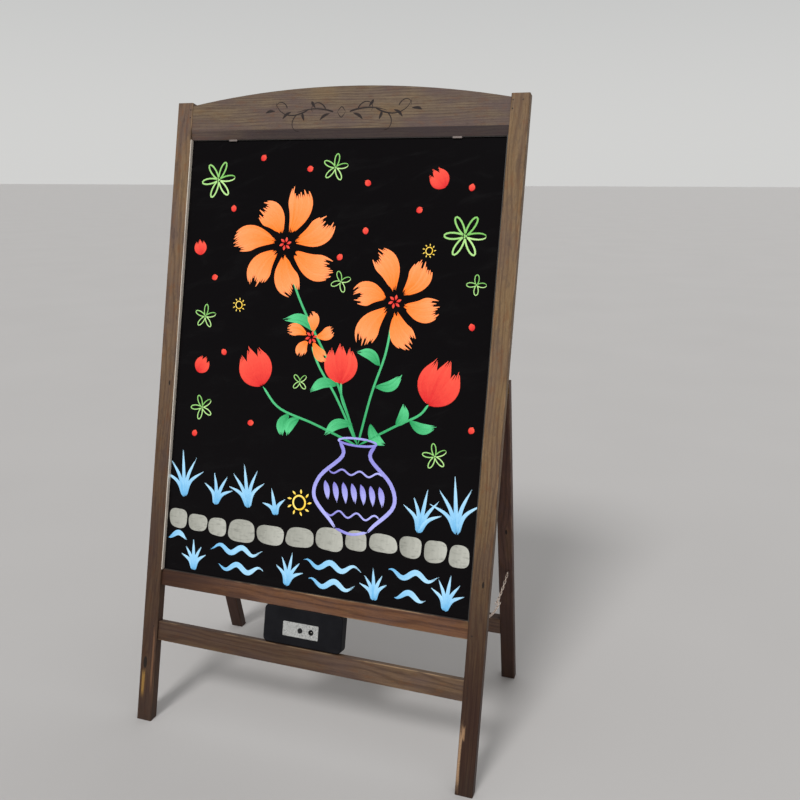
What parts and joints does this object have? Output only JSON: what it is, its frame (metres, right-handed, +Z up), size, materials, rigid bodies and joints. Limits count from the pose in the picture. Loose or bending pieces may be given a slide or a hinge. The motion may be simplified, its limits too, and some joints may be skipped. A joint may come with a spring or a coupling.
{
  "type": "led writing board",
  "caption": "Free-standing writing board with an edge-lit black panel in a dark wooden frame, arched header, battery control box and a folding rear stand held by chains.",
  "frame": {"origin": "on the floor, under the middle of the bounding box of the open stand", "axes": "+X to the viewer's right, +Y from the writing side to the rear stand, +Z up"},
  "size_m": [0.654, 0.374, 1.1432],
  "materials": {
    "front_wood": "dark walnut stain, satin",
    "rear_wood": "dark walnut stain, satin",
    "dowel_wood": "plain beech",
    "panel_acrylic": "clear polished acrylic over black",
    "backing": "matt black film",
    "cover_board": "dark hardboard",
    "channel_aluminium": "satin anodised",
    "strip_white": "white flexible circuit",
    "chip_white": "light diodes",
    "lead_sleeve": "black sleeve",
    "steel": "zinc plated",
    "hinge_brass": "brass plated",
    "box_plastic": "fine texture, black",
    "plate_metal": "silver speckled",
    "button_plastic": "black, satin gloss",
    "pin_chrome": "bright",
    "circuit": "green board",
    "cell_wrap": "blue wrap",
    "foam": "foam tape"
  },
  "bodies": {
    "front_frame": {"left_stile": "front_wood", "right_stile": "front_wood", "header_board": "front_wood", "lower_rail": "front_wood", "stretcher": "front_wood", "front_dowels": "dowel_wood", "writing_panel": "panel_acrylic", "black_backing": "backing", "rear_cover": "cover_board", "cover_screws": "steel", "left_led_channel": "channel_aluminium", "right_led_channel": "channel_aluminium", "top_channel": "channel_aluminium", "bottom_channel": "channel_aluminium", "top_clips": "channel_aluminium", "left_led_strip": "strip_white", "right_led_strip": "strip_white", "left_led_chips": "chip_white", "right_led_chips": "chip_white", "left_led_lead": "lead_sleeve", "right_led_lead": "lead_sleeve", "left_hinge_front_leaf": "hinge_brass", "right_hinge_front_leaf": "hinge_brass", "hinge_pins": "steel", "front_leaf_screws": "steel", "left_front_chain_eye": "steel", "right_front_chain_eye": "steel", "box_front_shell": "box_plastic", "box_rear_cover": "box_plastic", "box_screws": "steel", "mount_screws": "steel", "face_plate": "plate_metal", "charging_socket": "box_plastic", "socket_pin": "pin_chrome", "control_board": "circuit", "power_switch": "box_plastic", "battery_cells": "cell_wrap", "cell_tape": "foam", "cell_tabs": "steel"},
    "rear_frame": {"left_rear_leg": "rear_wood", "right_rear_leg": "rear_wood", "rear_cross_rail": "rear_wood", "rear_dowels": "dowel_wood", "left_hinge_rear_leaf": "hinge_brass", "right_hinge_rear_leaf": "hinge_brass", "rear_leaf_screws": "steel", "left_rear_chain_eye": "steel", "right_rear_chain_eye": "steel"},
    "power_button": {"power_button": "button_plastic", "switch_plunger": "box_plastic"},
    "left_chain_front": {"left_chain_front_half": "steel"},
    "left_chain_rear": {"left_chain_rear_half": "steel"},
    "right_chain_front": {"right_chain_front_half": "steel"},
    "right_chain_rear": {"right_chain_rear_half": "steel"}
  },
  "joints": [
    {"name": "rear_frame_fold", "type": "hinge", "parent": "front_frame", "child": "rear_frame", "pos_m": [0, -0.00062, 0.6626], "axis": [1, 0, 0], "range_deg": [-27.1, 0]},
    {"name": "power_button_press", "type": "slide", "parent": "front_frame", "child": "power_button", "axis": [0, 0.9703, -0.2419], "range_m": [0, 0.0012], "stiffness_N_per_m": 800, "springref_m": -0.0008},
    {"name": "left_chain_front_swing", "type": "hinge", "parent": "front_frame", "child": "left_chain_front", "pos_m": [-0.3233, -0.09279, 0.28261], "axis": [1, 0, 0], "range_deg": [-87.72, 0]},
    {"name": "left_chain_rear_swing", "type": "hinge", "parent": "rear_frame", "child": "left_chain_rear", "pos_m": [-0.3184, 0.09513, 0.27114], "axis": [1, 0, 0], "range_deg": [0, 94.57]},
    {"name": "right_chain_front_swing", "type": "hinge", "parent": "front_frame", "child": "right_chain_front", "pos_m": [0.3233, -0.09279, 0.28261], "axis": [1, 0, 0], "range_deg": [-87.72, 0]},
    {"name": "right_chain_rear_swing", "type": "hinge", "parent": "rear_frame", "child": "right_chain_rear", "pos_m": [0.3184, 0.09513, 0.27114], "axis": [1, 0, 0], "range_deg": [0, 94.57]}
  ],
  "couplings": [
    {"joint": "left_chain_front_swing", "follows": "rear_frame_fold", "ratio": 3.222},
    {"joint": "left_chain_rear_swing", "follows": "rear_frame_fold", "ratio": -3.475},
    {"joint": "right_chain_front_swing", "follows": "rear_frame_fold", "ratio": 3.222},
    {"joint": "right_chain_rear_swing", "follows": "rear_frame_fold", "ratio": -3.475}
  ]
}
